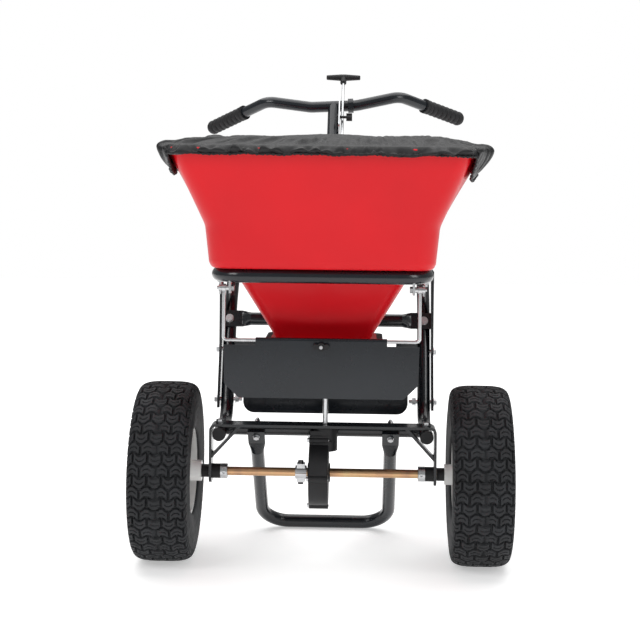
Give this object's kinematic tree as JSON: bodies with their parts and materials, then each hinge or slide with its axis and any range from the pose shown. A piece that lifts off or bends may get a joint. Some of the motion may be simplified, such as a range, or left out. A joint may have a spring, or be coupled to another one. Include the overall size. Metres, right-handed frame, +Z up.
{
  "type": "broadcast spreader",
  "caption": "Walk-behind broadcast spreader with covered funnel hopper, axle-driven impeller, front deflector, kickstand and tubular push handle.",
  "frame": {"origin": "on the ground below the middle of the machine's box", "axes": "+Z up, -Y towards the deflector side (forward travel), +Y towards the handle, +X to the driven wheel"},
  "size_m": [0.7, 0.9961, 0.9436],
  "materials": {
    "painted_black": "gloss powder coat",
    "black_plastic": "moulded, lightly grained",
    "grip_rubber": "ribbed matte rubber",
    "tyre_rubber": "matte black rubber",
    "rim_white": "white powder coat",
    "red_poly": "satin moulded polyethylene",
    "cover_fabric": "coated nylon",
    "yellow_zinc": "yellow zinc-plated steel",
    "zinc_steel": "bright zinc plate",
    "dark_bolts": "black oxide",
    "gear_steel": "machined"
  },
  "bodies": {
    "frame": {"axle_bearings": "black_plastic", "axle_bracket": "painted_black", "bail_clips": "zinc_steel", "bar_clamp": "painted_black", "base_plate": "black_plastic", "base_screws": "zinc_steel", "bracket_gussets": "painted_black", "frame_bolts": "zinc_steel", "frame_plugs": "black_plastic", "frame_tube_left": "painted_black", "frame_tube_right": "painted_black", "front_crossbar": "painted_black", "gauge_plate": "zinc_steel", "gearbox_screws": "zinc_steel", "gearbox_shell_left": "black_plastic", "gearbox_shell_right": "black_plastic", "grip_left": "grip_rubber", "grip_right": "grip_rubber", "handle_brace_left": "painted_black", "handle_brace_right": "painted_black", "handlebar": "painted_black", "hopper": "red_poly", "hopper_bolts": "zinc_steel", "hopper_ring": "painted_black", "hopper_strap_left": "painted_black", "hopper_strap_right": "painted_black", "kickstand": "painted_black", "kickstand_bolts": "zinc_steel", "mid_cross_tube": "painted_black", "post": "painted_black", "rear_guard": "painted_black", "shutter_guides": "black_plastic", "strap_bolts": "zinc_steel"},
    "axle": {"axle": "yellow_zinc", "axle_spacers": "black_plastic", "axle_collars": "zinc_steel", "axle_end_pins": "zinc_steel", "drive_pin": "zinc_steel", "gearbox_collar": "zinc_steel", "collar_bolts": "dark_bolts", "ring_gear": "gear_steel", "tyre_right": "tyre_rubber", "rim_right": "rim_white", "hub_right": "rim_white"},
    "free_wheel": {"tyre_left": "tyre_rubber", "rim_left": "rim_white", "hub_left": "rim_white"},
    "impeller": {"impeller_shaft": "zinc_steel", "pinion": "gear_steel", "impeller": "black_plastic", "agitator": "zinc_steel"},
    "control": {"control_rod": "zinc_steel", "control_knob": "black_plastic"},
    "shutter": {"shutter": "zinc_steel"},
    "stop": {"stop_knob": "black_plastic"},
    "bail": {"deflector_bail": "zinc_steel"},
    "panel": {"deflector_panel": "painted_black", "panel_clamp": "zinc_steel"},
    "panel_knob": {"panel_knob": "black_plastic"},
    "cover": {"hopper_cover": "cover_fabric"}
  },
  "joints": [
    {"name": "axle_spin", "type": "hinge", "parent": "frame", "child": "axle", "pos_m": [0, -0.2341, 0.165], "axis": [1, 0, 0], "continuous": true},
    {"name": "free_wheel_spin", "type": "hinge", "parent": "frame", "child": "free_wheel", "pos_m": [-0.292, -0.2341, 0.165], "axis": [1, 0, 0], "continuous": true},
    {"name": "impeller_spin", "type": "hinge", "parent": "frame", "child": "impeller", "pos_m": [0.004, -0.2341, 0.3], "axis": [0, 0, 1], "continuous": true},
    {"name": "control_slide", "type": "slide", "parent": "frame", "child": "control", "axis": [0, 0.699, 0.7151], "range_m": [-0.05, 0]},
    {"name": "shutter_slide", "type": "slide", "parent": "frame", "child": "shutter", "axis": [0, 1, 0], "range_m": [-0.03495, 0]},
    {"name": "stop_slide", "type": "slide", "parent": "frame", "child": "stop", "axis": [0, 0.699, 0.7151], "range_m": [-0.019, 0.04]},
    {"name": "bail_swing", "type": "hinge", "parent": "frame", "child": "bail", "pos_m": [0, -0.3941, 0.524], "axis": [-1, 0, 0], "range_deg": [0, 80]},
    {"name": "panel_tilt", "type": "hinge", "parent": "bail", "child": "panel", "pos_m": [0, -0.3941, 0.432], "axis": [-1, 0, 0], "range_deg": [0, 90]},
    {"name": "panel_knob_turn", "type": "hinge", "parent": "panel", "child": "panel_knob", "pos_m": [0, -0.4091, 0.423], "axis": [0, -1, 0], "continuous": true},
    {"name": "cover_lift", "type": "slide", "parent": "frame", "child": "cover", "axis": [0, 0, 1], "range_m": [0, 0.3]}
  ],
  "couplings": [
    {"joint": "impeller_spin", "follows": "axle_spin", "ratio": 4.3333},
    {"joint": "shutter_slide", "follows": "control_slide", "ratio": 0.69898}
  ]
}
